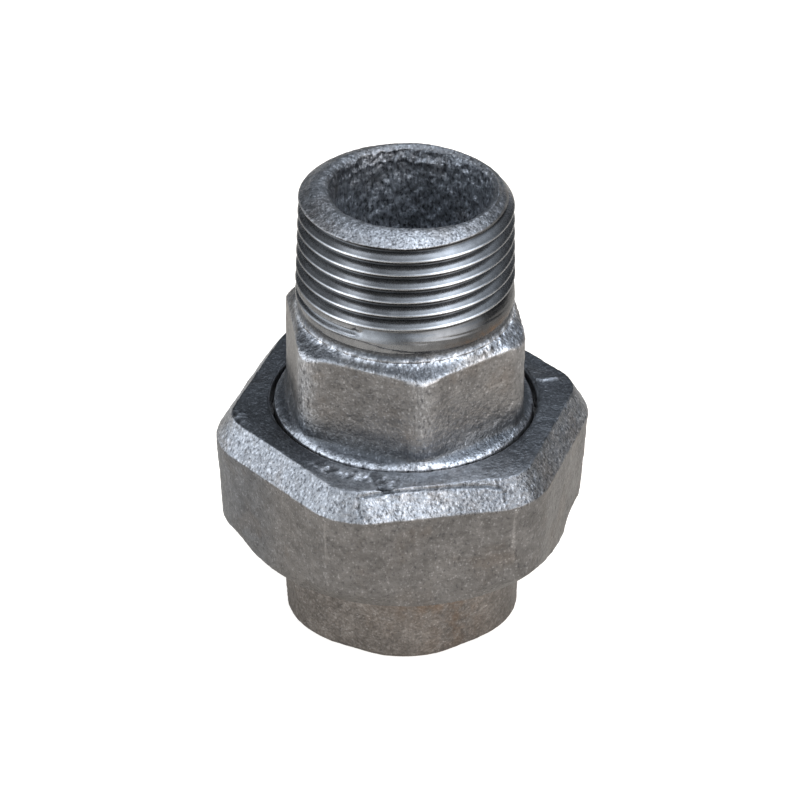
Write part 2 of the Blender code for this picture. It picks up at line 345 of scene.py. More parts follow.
    def mesh(self, name, material, **attributes):
        quads, tris = self.quads, self.tris
        mesh = bpy.data.meshes.new(name)
        mesh.vertices.add(len(self.co))
        mesh.vertices.foreach_set("co", (self.co * MM).astype(np.float32).ravel())
        loops = np.concatenate([quads.ravel(), tris.ravel()])
        mesh.loops.add(len(loops))
        mesh.loops.foreach_set("vertex_index", loops.astype(np.int32))
        starts = np.concatenate([np.arange(len(quads)) * 4,
                                 len(quads) * 4 + np.arange(len(tris)) * 3])
        mesh.polygons.add(len(starts))
        mesh.polygons.foreach_set("loop_start", starts.astype(np.int32))
        mesh.update(calc_edges=True)
        mesh.validate()
        mesh.shade_smooth()
        for key, value in attributes.items():
            layer = mesh.attributes.new(key, "FLOAT", "POINT")
            layer.data.foreach_set("value", value.astype(np.float32))
        mesh.materials.append(material)
        return link(name, mesh)


# ------------------------------------------------------------------ casting surface
def cast_skin(loft, seed):
    """Depth of the sand-cast skin: slow waves, lumps and grain, in mm."""
    layers = ((0.085, 5.5), (0.045, 2.1), (0.036, 0.95), (0.030, 0.55))      # depth, lump size
    return loft.skin * sum(depth * noise(loft.co, size, seed + i)
                           for i, (depth, size) in enumerate(layers))


def peel(points):
    """Fine dimples of the level sides, in mm."""
    return 0.035 * noise(points, 1.3, 81) + 0.02 * noise(points, 0.75, 82)


# Rubbed convex edges, also used as a painted highlight along them.
def edge_wear(loft, seed):
    patchy = np.clip(0.65 + 0.6 * noise(loft.co, 1.2, seed), 0, 1)
    return smooth(0.25, 1.1, loft.convexity()) * patchy


def looks(loft, **attributes):
    """Point attributes of a casting, with plain values for those not given."""
    count = len(loft.co)
    plain = dict(kind=loft.kind, wear=np.zeros(count), dirt=np.zeros(count),
                 rust=np.zeros(count), bright=np.ones(count), spark=np.full(count, 0.4),
                 cool=np.zeros(count))
    return {**plain, **attributes}


# ------------------------------------------------------------------ materials
class Nodes:
    """Short way to write the node tree of a material or world."""

    def __init__(self, owner):
        owner.use_nodes = True
        self.tree = owner.node_tree
        self.tree.nodes.clear()

    def put(self, socket, value):
        if isinstance(value, bpy.types.NodeSocket):
            self.tree.links.new(value, socket)
        else:
            socket.default_value = value

    def make(self, kind, inputs=None, **props):
        node = self.tree.nodes.new(kind)
        for key, value in props.items():
            setattr(node, key, value)
        for key, value in (inputs or {}).items():
            self.put(node.inputs[key], value)
        return node

    def math(self, op, a, b, clamp=False):
        return self.make("ShaderNodeMath", {0: a, 1: b, 2: 0.0}, operation=op,
                         use_clamp=clamp).outputs[0]

    def plus(self, a, b, clamp=False):
        return self.math("ADD", a, b, clamp)

    def times(self, a, b, clamp=False):
        return self.math("MULTIPLY", a, b, clamp)

    def swing(self, field, amount):
        """A field round 0.5, recentred on 0 and scaled."""
        return self.times(self.math("SUBTRACT", field, 0.5), amount)

    def vector(self, op, a, b):
        return self.make("ShaderNodeVectorMath", {0: a, 1: b}, operation=op).outputs[0]

    def scale(self, vector, factor):
        return self.make("ShaderNodeVectorMath", {0: vector, "Scale": factor},
                         operation="SCALE").outputs[0]

    def mix(self, factor, a, b):
        """Colour mix; plain colours are RGB tuples."""
        node = self.make("ShaderNodeMix", {"Factor": factor}, data_type="RGBA")
        for key, value in ((6, a), (7, b)):
            self.put(node.inputs[key], (*value, 1.0) if isinstance(value, tuple) else value)
        return node.outputs[2]

    def span(self, value, start, end, kind="SMOOTHSTEP"):
        """Map start to 0 and end to 1."""
        return self.make("ShaderNodeMapRange",
                         {"Value": value, "From Min": start, "From Max": end},
                         interpolation_type=kind).outputs[0]

    def noise(self, vector, size, detail, rough):
        return self.make("ShaderNodeTexNoise", {"Vector": vector, "Scale": 1.0 / size,
                                                "Detail": detail, "Roughness": rough}).outputs[0]

    def cells(self, vector, scale):
        return self.make("ShaderNodeTexVoronoi", {"Vector": vector, "Scale": scale,
                                                  "Randomness": 1.0}).outputs["Distance"]

    def attribute(self, name):
        return self.make("ShaderNodeAttribute", attribute_name=name).outputs["Fac"]

    def millimetres(self):
        """Object coordinates in mm."""
        coord = self.make("ShaderNodeTexCoord").outputs["Object"]
        return self.vector("MULTIPLY", coord, (1000.0, 1000.0, 1000.0))

    def camera_ray(self):
        return self.make("ShaderNodeLightPath").outputs["Is Camera Ray"]

    def shader(self, kind, inputs):
        return self.make(kind, inputs).outputs[0]

    def output(self, surface, kind="Material"):
        self.make("ShaderNodeOutput" + kind, {"Surface": surface})


CAST = (0.205, 0.195, 0.188)
MACHINED = (0.36, 0.362, 0.37)
BROWN = (0.21, 0.16, 0.12)
COOL_TINT = (0.86, 1.0, 1.18)
PALE_GRAIN = (0.42, 0.43, 0.46)
PIT = (0.045, 0.046, 0.052)
WORN = (0.46, 0.46, 0.48)
SOOT = (0.035, 0.036, 0.038)
RUST = (0.20, 0.12, 0.065)


def iron(name, seed, cast=CAST):
    """Black malleable iron. Point attributes: kind goes from 0, sand-cast, to 1, machined; the
    others give rubbed edges that also carry a painted highlight, painted shade in the bore, the
    thread roots and the gaps, the brown bloom of rust, painted light and shade that makes the
    surface paler or darker, a painted blue tint where bluish light falls, and the strength of the
    painted glints and of the painted shade in the pits of the grain."""
    material = bpy.data.materials.new(name)
    tree = Nodes(material)
    mm = tree.vector("ADD", tree.millimetres(), (seed, seed * 0.7, seed * 1.3))
    kind, wear, dirt, rust, bright, spark = (
        tree.attribute(key) for key in ("kind", "wear", "dirt", "rust", "bright", "spark"))
    as_cast = tree.math("SUBTRACT", 1.0, kind, clamp=True)

    coarse = tree.noise(mm, size=4.0, detail=3.0, rough=0.55)
    middle = tree.noise(mm, size=1.3, detail=3.0, rough=0.6)
    fine = tree.noise(mm, size=0.5, detail=2.0, rough=0.6)
    # the grain of painted glints and pits turns from even to upright as their strength rises
    even = tree.noise(mm, size=0.44, detail=1.5, rough=0.55)
    tall = tree.vector("MULTIPLY", mm, (1.0, 1.0, 0.5))
    upright = tree.noise(tall, size=0.4, detail=2.0, rough=0.6)
    grit = tree.plus(tree.times(upright, tree.span(spark, 0.5, 0.8)),
                     tree.times(even, tree.span(spark, 0.8, 0.5)))
    specks = tree.cells(mm, scale=1.7)
    facets = tree.cells(mm, scale=1.15)

    # cast colour: darker and lighter patches, brown clouds, then painted light and shade and a
    # painted blue tint
    tone = tree.plus(tree.times(coarse, 0.45), tree.times(middle, 0.55))
    tone = tree.span(tone, 0.36, 0.64, "LINEAR")
    skin = tree.mix(tone, tuple(c * 0.73 for c in cast), tuple(c * 1.27 for c in cast))
    clouds = tree.span(tree.noise(mm, size=6.5, detail=4.0, rough=0.6), 0.50, 0.72)
    skin = tree.mix(tree.times(clouds, 0.25), skin, BROWN)
    cool = tree.attribute("cool")
    skin = tree.scale(skin, bright)
    # painted blue tint where bluish light falls
    skin = tree.vector("MULTIPLY", skin, tree.mix(cool, (1.0, 1.0, 1.0), COOL_TINT))
    # painted glints on the facets of the sand grain, and painted shade in its pits
    glint = tree.times(tree.span(grit, 0.55, 0.67), spark, clamp=True)
    pit = tree.times(tree.span(grit, 0.46, 0.34), spark, clamp=True)
    pale = tree.mix(0.3, tree.scale(skin, 2.3), PALE_GRAIN)
    skin = tree.mix(tree.times(glint, 0.75), skin, pale)
    skin = tree.mix(tree.times(tree.span(facets, 0.20, 0.11), 0.5), skin, pale)
    skin = tree.mix(tree.times(pit, 0.72), skin, PIT)
    # rubbed edges, made paler also as a painted highlight along convex edges
    skin = tree.mix(tree.times(wear, 0.7), skin, WORN)

    metal = tree.mix(tree.span(middle, 0.35, 0.65, "LINEAR"),
                     tuple(c * 0.88 for c in MACHINED), tuple(c * 1.12 for c in MACHINED))
    # the machined metal takes the same painted light and shade
    metal = tree.scale(metal, bright)
    colour = tree.mix(kind, skin, metal)
    # painted shade: near black where the bore, the thread roots and the gaps lie in shade
    colour = tree.mix(tree.times(dirt, 0.85), colour, SOOT)
    patches = tree.span(tree.noise(mm, size=2.2, detail=4.0, rough=0.65), 0.35, 0.65)
    colour = tree.mix(tree.times(tree.times(rust, patches), 0.75), colour, RUST)

    # roughness: 0.40 on the cast skin, 0.27 on machined metal, both uneven
    rough = tree.plus(tree.swing(middle, 0.30), 0.40)
    rough = tree.plus(rough, tree.swing(fine, 0.30))
    flat = tree.plus(0.27, tree.swing(fine, 0.12))
    roughness = tree.plus(tree.times(rough, as_cast), tree.times(flat, kind), clamp=True)

    height = tree.plus(tree.times(fine, 0.9), tree.times(middle, 0.5))
    height = tree.plus(height, tree.times(tree.span(specks, 0.0, 0.35), 0.12))
    grain = tree.make("ShaderNodeBump", {"Height": height, "Distance": 0.00016,
                                         "Strength": tree.times(as_cast, 1.0, clamp=True)})
    # turning marks run round the machined surfaces
    rings = tree.vector("MULTIPLY", mm, (0.05, 0.05, 2.6))
    lines = tree.noise(rings, size=1.0, detail=2.0, rough=0.6)
    turned = tree.make("ShaderNodeBump", {"Height": lines, "Distance": 0.00004,
                                          "Strength": tree.times(kind, 0.22),
                                          "Normal": grain.outputs[0]})
    tree.output(tree.shader("ShaderNodeBsdfPrincipled", {
        "Base Color": colour, "Metallic": 0.9, "Roughness": roughness,
        "Normal": turned.outputs[0]}))
    return material


def rubber(name):
    """Black rubber with a grey bloom."""
    material = bpy.data.materials.new(name)
    tree = Nodes(material)
    mm = tree.millimetres()
    fine = tree.noise(mm, size=0.3, detail=3.0, rough=0.6)
    bloom = tree.span(tree.noise(mm, size=3.0, detail=4.0, rough=0.6), 0.42, 0.7)
    colour = tree.mix(bloom, (0.018, 0.018, 0.019), (0.05, 0.049, 0.047))
    rough = tree.plus(0.62, tree.times(fine, 0.25))
    bump = tree.make("ShaderNodeBump", {"Height": fine, "Strength": 0.35, "Distance": 0.00005})
    tree.output(tree.shader("ShaderNodeBsdfPrincipled", {
        "Base Color": colour, "Roughness": rough, "Metallic": 0.0, "Normal": bump.outputs[0]}))
    return material


# ------------------------------------------------------------------ male tail
TAIL_TOP = 73.95
TAIL_CORNER_DEG = 8.2                # a corner of the hexagon looks this way
TAIL_APOTHEM, TAIL_CORNER_R = 17.45, 4.75
CONE_Z, CONE_R, CONE_SLOPE = 51.0, 19.4, 1.2     # cone turned on the hexagon's top
NECK_R = 16.28
RIDGE_Z = 53.3                       # rough ridge between hexagon and neck
CREST_Z = 70.69                      # a thread crest at the front
LAST_CREST = CREST_Z - 5 * PITCH     # the last whole turn, at the front
GAUGE_Z = TAIL_TOP - 10.4
TAPER = 32.0                         # height over which the thread's radius grows by 1

# Station rows: radius, z, fillet, kind, skin, spacing, hexness, corner
TAIL_OUTSIDE = [
    (22.0, 29.9, 0.4, 1, 0.1, 1.6),
    (22.0, 32.9, 0.5, 0, 0.3, 0.8),
    (20.05, 32.9, 0.3, 0, 0.2, 0.7),
    (20.05, 36.3, 0.5, 0, 0.6, 0.5),
    (18.05, 37.3, 1.7, 0, 1.0, 0.28, 0.55, TAIL_CORNER_R),
    (TAIL_APOTHEM, 39.6, 2.2, 0, 1.0, 0.28, 1, TAIL_CORNER_R),
    (TAIL_APOTHEM, 51.65, 0.35, 0, 1.0, 0.29, 1, TAIL_CORNER_R),
    (16.8, 53.4, 0.3, 0, 1.7, 0.22),
    (16.3, 54.2, 0.5, 0, 0.9, 0.22),
    (NECK_R, 54.7, 0, 0, 0.3, 0.22),
]
TAIL_BORE = [
    (13.4, 73.98, 1.3, 0, 1.4, 0.22),
    (12.4, 73.55, 0.7, 0, 1.5, 0.22),
    (11.95, 71.5, 1.5, 0, 2.2, 0.3),
    (11.75, 60.0, 0, 0, 3.4, 0.5),
    (11.7, 29.95, 0, 0, 2.4, 1.7),
]

# Unfinished last turn: height from the last crest, then depth below the crest line
GROOVE_RIGHT = ([-3.9, -3.1, -2.6, -2.1, -1.6, -1.15, -0.85, -0.62, -0.45, -0.27, 0],
                [0.0, 0.03, 0.10, 0.24, 0.48, 0.78, 0.92, 0.86, 0.55, 0.15, 0])
GROOVE_LEFT = ([-2.75, -2.5, -2.15, -1.85, -1.6, -1.3, -1.1, -0.75, -0.55, -0.4, -0.2, 0],
               [0.2, 0.02, 0.30, 0.95, 1.1, 0.75, 0.16, 0.10, 0.42, 0.42, 0.06, 0])
# Whole turns: distance from the crest, then depth, above and below the crest
FORM_ABOVE = ([0, 0.06, 0.12, 0.17, 0.28, 0.577, 0.87, 1.02, HALF],
              [0, 0.012, 0.05, 0.10, 0.225, 0.58, 0.94, 1.22, 1.44])
FORM_BELOW = ([0, 0.05, 0.10, 0.17, 0.28, 0.5, 0.8, 1.0, HALF],
              [0, 0.012, 0.07, 0.20, 0.42, 0.78, 1.18, 1.38, 1.44])
# Angle, then height of the neck's upper edge
NECK_EDGE = ([-180, -57, -46, -35, -22, -12, -2, 7, 30, 60, 75, 180],
             [56.0, 56.15, 56.35, 56.55, 56.5, 56.0, 55.65, 55.4, 55.2, 55.3, 55.8, 56.0])

# Angle, then painted light of the flanks, the crests and the last turn, and painted shade in the
# roots
FLANK_TONE = ([-180, -80, -58, -46, -37, -28, -18, -8, 2, 14, 24, 33, 44, 60, 90, 180],
              [0.62, 0.52, 0.30, 0.28, 0.29, 0.38, 0.30, 0.40, 0.39, 0.41, 0.46, 0.33, 0.33,
               0.46, 0.62, 0.62])
CREST_TONE = ([-180, -60, -44, -34, -28, -18, -8, 4, 12, 22, 28, 40, 60, 90, 180],
              [0.6, 0.6, 1.5, 3.1, 3.1, 1.6, 1.3, 1.3, 1.7, 3.2, 2.5, 1.9, 1.1, 0.65, 0.6])
LAST_TONE = ([-60, -20, 0, 20, 35, 60], [0.6, 0.8, 0.6, 0.45, 0.27, 0.24])
OIL = ([-180, -85, -64, -54, -46, -28, -20, -12, 12, 20, 26, 32, 38, 56, 70, 180],
       [1.0, 1.0, 1.0, 0.6, 0.35, 0.4, 0.9, 1.0, 1.0, 1.0, 0.6, 0.8, 0.6, 0.4, 0.9, 1.0])
# Height, then how far the core's lean has come; height, then painted light and shade added in the
# bore
CORE_LEAN = ([30, 60, 72, 74], [0, 0.62, 1.0, 1.0])
BORE_TONE = ([50, 64, 70, 72, 73.5], [1.0, 1.1, 0.5, 0.0, -0.4])


def tail_clip(radius, z):
    """The top of the hexagon is turned to a cone."""
    return soft_min(radius, CONE_R - (z - CONE_Z) * CONE_SLOPE, 0.25) if z > 45 else radius


def taper_r(z):
    return PIPE_R + (GAUGE_Z - z) / TAPER


def dome_r(z):
    """Radius of the chamfer at the tail's top."""
    return 13.7 + (TAIL_TOP - z) / 0.56


def last_turn_depth(deg, z):
    """Depth below the crest line. Under the last whole turn the thread is unfinished: a shallow
    step that runs out into the plain neck at the front right, and a lower, deeper groove that
    stops in a nick at the front left."""
    y = z - (LAST_CREST + PITCH * deg / 360)
    x = from_crest(y)
    # fuller than the standard flank above each crest, with a sharper edge below it
    whole = np.where(x > 0, np.interp(x, *FORM_ABOVE), np.interp(-x, *FORM_BELOW))
    right, left = np.interp(y, *GROOVE_RIGHT), np.interp(y, *GROOVE_LEFT)
    ripple = (0.045 * np.sin((y + 0.02 * deg) * TAU / 0.62) * smooth(-0.7, -1.2, y)
              * smooth(-3.6, -3.0, y) * smooth(-5, 12, deg))
    right = right + ripple * smooth(80, 55, deg)
    side = smooth(-29, -22, deg)
    depth = left * (1 - side) + right * side
    depth = depth + (whole - depth) * smooth(75, 165, deg)
    nick = bell(deg, -27.5, 0.9) * bell(y, -0.95, 0.35)
    burr = bell(deg, -23.5, 2.0) * bell(y, -1.0, 0.25)
    depth = depth + 0.55 * nick - 0.12 * burr
    return np.where(y < 0, depth, whole)


def tail_thread(phi, z, x):
    deg = wrap(np.degrees(phi))
    # the two ends of the last turn pass under each other at the back
    other = np.where(deg > 0, deg - 360, deg + 360)
    share = 0.5 * smooth(150, 180, np.abs(deg))
    radius = taper_r(z) - (last_turn_depth(deg, z) * (1 - share)
                           + last_turn_depth(other, z) * share)
    # neck under the thread, where the cast surface begins
    edge = np.interp(deg, *NECK_EDGE)
    neck = NECK_R + 0.62 * smooth(edge - 0.42, edge + 0.02, z)
    necked = soft_min(radius, neck + 0.04 + 8 * np.maximum(z - edge, 0), 0.1)
    radius = np.where(z < edge + 1.2, necked, radius)
    return soft_min(radius, dome_r(z), 0.07)


def lean_tail_bore(tail):
    """The bore leans off centre on the way up, and its lip is thicker at the front."""
    z, deg = tail.z, tail.angle
    wall = (tail.part == BORE) * smooth(14.6, 12.6, tail.radius)
    lean = wall * np.interp(z, *CORE_LEAN)
    lip = 0.95 * bell(deg, -3, 38.0) * wall * smooth(66, 73, z)
    tail.co[:, 0] += 0.78 * lean - lip * np.sin(np.radians(deg))
    tail.co[:, 1] += 0.30 * lean + lip * np.cos(np.radians(deg))


def tail_base_looks(tail, clumps):
    """Painted light and shade added over 1, strength of painted glints, and painted blue tint of the
    cast outside below the thread.
    """
    z, deg = tail.z, tail.angle
    base = tail.part == OUTSIDE
    # rim of the collar, with a painted highlight, and the hollow between it and the hexagon, with
    # painted shade
    edge = base * bell(tail.radius, 19.9, 0.5) * (z > 35.7) * (z < 37.2)
    hollow = base * smooth(35.9, 36.3, z) * smooth(42.0, 37.3, z) * (1 - edge)
    neck = base * smooth(53.6, 54.1, z)
    ridge = base * bell(z, RIDGE_Z, 0.42)
    # brow: the edge where the turned cone cuts the hexagon, with a painted highlight; slope: the
    # cone itself, painted lighter on its right and darker elsewhere
    flat_r = hexagon(np.radians(deg), TAIL_APOTHEM, TAIL_CORNER_R, TAIL_CORNER_DEG)
    cone_edge = np.minimum(CONE_Z + (CONE_R - flat_r) / CONE_SLOPE, 51.6)
    brow = base * bell(z, cone_edge + 0.12, 0.26) * (
        0.6 + 0.4 * smooth(-60, -20, deg) * smooth(100, 70, deg))
    slope = base * smooth(51.3, 51.8, z) * (1 - neck) * (1 - ridge)
    corner = base * smooth(36.5, 39.0, z) * (1 - slope) * (1 - neck) * (1 - ridge) * (
        bell(deg, TAIL_CORNER_DEG - 60, 7.5) + 0.5 * bell(deg, TAIL_CORNER_DEG, 5.0)
        + 0.3 * bell(deg, TAIL_CORNER_DEG + 60, 5.0))
    # the collar rim's painted highlight fades at the sides, where the gap lies in shade
    front_gap = smooth(36, 62, np.abs(deg + 4)) * smooth(145, 110, np.abs(deg))
    lit_edge = edge * (0.6 + 0.4 * clumps) * (1 - 0.85 * front_gap)
    # painted shade in the hollow and the neck; painted highlights on the collar's rim, the ridge,
    # the brow and the hexagon's corners; painted light on the front right
    bright = (-0.55 * hollow + 1.65 * lit_edge - 0.55 * neck
              + 0.14 * base * smooth(10, 16, deg) * smooth(66, 60, deg)
              + ridge * clumps * (1.5 + 0.8 * smooth(5, 35, deg))
              + slope * (1.3 * smooth(18, 40, deg) * smooth(95, 70, deg) - 0.5)
              + 1.2 * brow * (0.5 + 0.5 * clumps) + 0.85 * corner)
    spark = 0.7 * edge - 0.2 * neck + 0.8 * ridge + 0.25 * slope + 0.4 * corner
    cool = 0.7 * hollow + 0.5 * edge + 0.5 * (ridge + slope + neck) + 0.4 * corner
    return bright, spark, cool


def tail_thread_looks(tail):
    """Painted light and shade of the turns: the polished flanks and the crests painted lighter or
    darker by angle as highlights, and painted shade in the roots and under the crests."""
    z, deg = tail.z, tail.angle
    turn = from_crest(z - CREST_Z - PITCH * deg / 360)
    flank, crest = np.interp(deg, *FLANK_TONE), np.interp(deg, *CREST_TONE)
    tone = flank + (crest - flank) * smooth(0.30, 0.12, np.abs(turn))
    # painted light across the middle of each upper flank
    tone = tone * (0.90 + 0.50 * smooth(0.30, 0.62, turn) * smooth(0.98, 0.84, turn))
    oil = (np.maximum(smooth(-0.08, -0.2, turn), smooth(0.90, 1.04, turn))
           * np.interp(deg, *OIL))
    # under the last whole turn the painted light and the painted shade both follow the unfinished
    # groove, except at the back
    low = z < LAST_CREST + PITCH * deg / 360 - 0.15
    sunk = taper_r(z) - np.hypot(tail.co[:, 0], tail.co[:, 1])
    # painted shade deeper in the unfinished groove
    deep = 0.6 * smooth(0.5, 1.0, sunk)
    away = smooth(85, 165, np.abs(deg))
    last = np.interp(deg, *LAST_TONE)
    tone = np.where(low, last + (tone - last) * away, tone)
    oil = np.where(low, deep + (oil - deep) * away, oil)
    return tone, oil


def make_tail():
    tail = Loft(500, TAIL_CORNER_DEG, tail_clip)
    tail.profile((11.7, 29.9), TAIL_OUTSIDE, OUTSIDE)
    tail.thread(54.75, 73.35, CREST_Z, tail_thread, TURN_ROWS, skin=0.05)
    tail.profile((14.72, 73.38), TAIL_BORE, BORE)
    tail.close()
    lean_tail_bore(tail)
    z, deg = tail.z, tail.angle
    base, threaded, inner = (tail.part == part for part in (OUTSIDE, THREAD, BORE))
    # the chamfer at the top of the thread is as cast
    under_dome = dome_r(z) - np.hypot(tail.co[:, 0], tail.co[:, 1])
    dome = threaded * (z > 71.3) * smooth(0.16, 0.06, under_dome)
    tail.kind = tail.kind * (1 - dome)
    tail.skin = np.maximum(tail.skin, 0.8 * dome)
    bore = inner * smooth(0.62, 0.35, tail.normals()[:, 2]) * smooth(13.3, 12.9, tail.radius)
    rim = np.clip(dome + inner * (1 - bore), 0, 1)

    ridge_lumps = 0.13 * base * bell(z, RIDGE_Z, 0.5) * noise(tail.co * [1, 1, 0.35], 0.8, 7)
    clumps = np.clip(0.9 + 1.7 * noise(tail.co * [1, 1, 0.6], 0.75, 8), 0.15, 2.2)
    sides = base * smooth(37.5, 39.0, z) * smooth(51.6, 50.8, z)
    bore_lumps = 0.16 * noise(tail.co, 1.25, 5) + 0.07 * noise(tail.co, 0.7, 6)
    tail.push(cast_skin(tail, 1) + ridge_lumps + sides * peel(tail.co)
              + bore * bore_lumps * smooth(30, 60, z))

    wear = edge_wear(tail, 9) * (1 - 0.6 * rim)
    # the front of the top rim gets a painted highlight and stronger painted glints
    front = bell(deg, 2, 40)
    base_bright, base_spark, base_cool = tail_base_looks(tail, clumps)
    tone, oil = tail_thread_looks(tail)
    bright = (1 + rim * (0.88 * front - 0.02) + base_bright
              + bore * np.interp(z, *BORE_TONE))
    bright = np.where(threaded & (dome < 0.5), tone, bright)
    spark = 0.62 + rim * (0.15 + 0.5 * front) + 0.9 * bore + base_spark
    cool = np.clip(0.35 * rim + 0.65 * bore + base_cool, 0, 1)
    # painted shade deeper down the bore and in the thread roots
    dirt = inner * smooth(60.0, 38.0, z) * 0.5 + oil * threaded * (1 - dome)
    rust = bell(deg, 52, 24) * bell(z, 55.6, 0.7) * ~inner
    return tail.mesh("tail", iron("iron_tail", seed=3.0),
                     **looks(tail, wear=wear, dirt=np.clip(dirt, 0, 1),
                             rust=np.clip(rust, 0, 1), bright=bright, spark=spark, cool=cool))


# ------------------------------------------------------------------ union nut
NUT_CORNER_DEG = -18.4               # a corner of the hexagon looks this way
FACE = NUT_CORNER_DEG + 30           # and the front face this way
NUT_BOTTOM, NUT_TOP = 15.1, 36.17
NUT_HOLE_R = 20.74                   # hole in the lip at the top
NUT_THREAD_R, NUT_MINOR_R, NUT_MOUTH_R = 24.23, 22.75, 24.49

# Station rows: radius, z, fillet, kind, skin, spacing, hexness, corner
NUT_PROFILE = [
    (25.95, NUT_BOTTOM, 0.25, 0, 0.3, 0.5, 0.02, 10.6),
    (26.1, 18.0, 0, 0, 1.0, 0.28, 1, 10.6),
    (26.8, 32.0, 0.55, 0, 1.0, 0.28, 1, 10.6),
    (24.1, NUT_TOP, 0.3, 0, 1.0, 0.2, 1, 6.3),
    (NUT_HOLE_R, NUT_TOP, 0.45, 0, 1.0, 0.26),
    (NUT_HOLE_R, 33.2, 0.2, 0.8, 0.2, 0.9),
    (24.4, 33.2, 0.2, 1, 0.1, 1.4),
    (24.4, 29.4, 0, 1, 0.1, 1.5),
]
# Height, then radius of the cone that trims the corners
NUT_CONE = ([NUT_BOTTOM, 16.2, 20.1, 40.0], [25.9, 28.2, 33.0, 60.0])
# Distance sideways on the front bevel, then height of the groove over the raised patch
PATCH_LINE = ([-14, -11.7, -8.4, -4.5, 0.8, 5.4, 8.6, 10.0, 11.0],
              [35.4, 35.45, 35.74, 35.8, 35.67, 35.47, 35.25, 34.8, 33.9])
# Angle, then painted light and shade of the top face and of the bevel
TOP_TONE = ([-180, -120, -60, -40, -28, -14, 24, 36, 52, 90, 180],
            [0.36, 0.30, 0.26, 0.50, 1.25, 1.85, 1.85, 1.2, 0.55, 0.34, 0.36])
BEVEL_TONE = ([-180, -78, -30, -12, 10, 18, 36, 60, 80, 180],
              [1.4, 1.5, 1.42, 1.55, 1.5, 1.08, 1.02, 1.0, 1.1, 1.4])


def nut_clip(radius, z):
    return soft_min(radius, np.interp(z, *NUT_CONE), 0.35)


def nut_thread(phi, z, x):
    radius = NUT_THREAD_R - 0.04 - thread_depth(x)
    mouth = np.interp(z, [NUT_BOTTOM, 17.0, 60], [NUT_MOUTH_R, NUT_MINOR_R, NUT_MINOR_R])
    return soft_max(soft_max(radius, NUT_MINOR_R, 0.06), mouth, 0.1)


def along(points, deg):
    """Distance sideways from the middle of the face that looks towards deg."""
    angle = math.radians(deg)
    return points[:, 0] * math.cos(angle) + points[:, 1] * math.sin(angle)


def spot(points, deg, radius, size, stretch, turn):
    """A long spot on a level face: 1 in its middle, 0 outside."""
    angle, axis = math.radians(deg), math.radians(deg + turn)
    x = points[:, 0] - radius * math.sin(angle)
    y = points[:, 1] + radius * math.cos(angle)
    lengthwise = x * math.sin(axis) - y * math.cos(axis)
    across = x * math.cos(axis) + y * math.sin(axis)
    return smooth(1.25, 0.75, np.hypot(lengthwise / (size * stretch), across / size))


def bevel_patch(points, z):
    """Raised patch on the front bevel and the fine groove round it, ragged at its right end.
    Also gives the distance sideways that its outline is drawn on."""
    sideways = along(points, FACE) + 0.12 * noise(points, 1.6, 71)
    line = np.interp(sideways, *PATCH_LINE) + 0.07 * noise(points, 1.1, 72)
    right = 10.6 + 0.5 * noise(points * [1, 1, 2.2], 1.0, 73)
    patch = (smooth(-0.10, 0.12, line - z) * smooth(-11.82, -11.62, sideways)
             * smooth(right + 0.15, right - 0.15, sideways))
    over = bell(z, line, 0.17) * smooth(-11.9, -11.6, sideways) * smooth(10.9, 10.5, sideways)
    left_end = bell(sideways, -11.72, 0.18) * smooth(32.6, 33.0, z) * smooth(35.6, 35.4, z)
    right_end = 0.7 * bell(sideways, right, 0.2) * smooth(32.6, 33.2, z) * (z < line)
    return patch, np.maximum(np.maximum(over, left_end), right_end), sideways


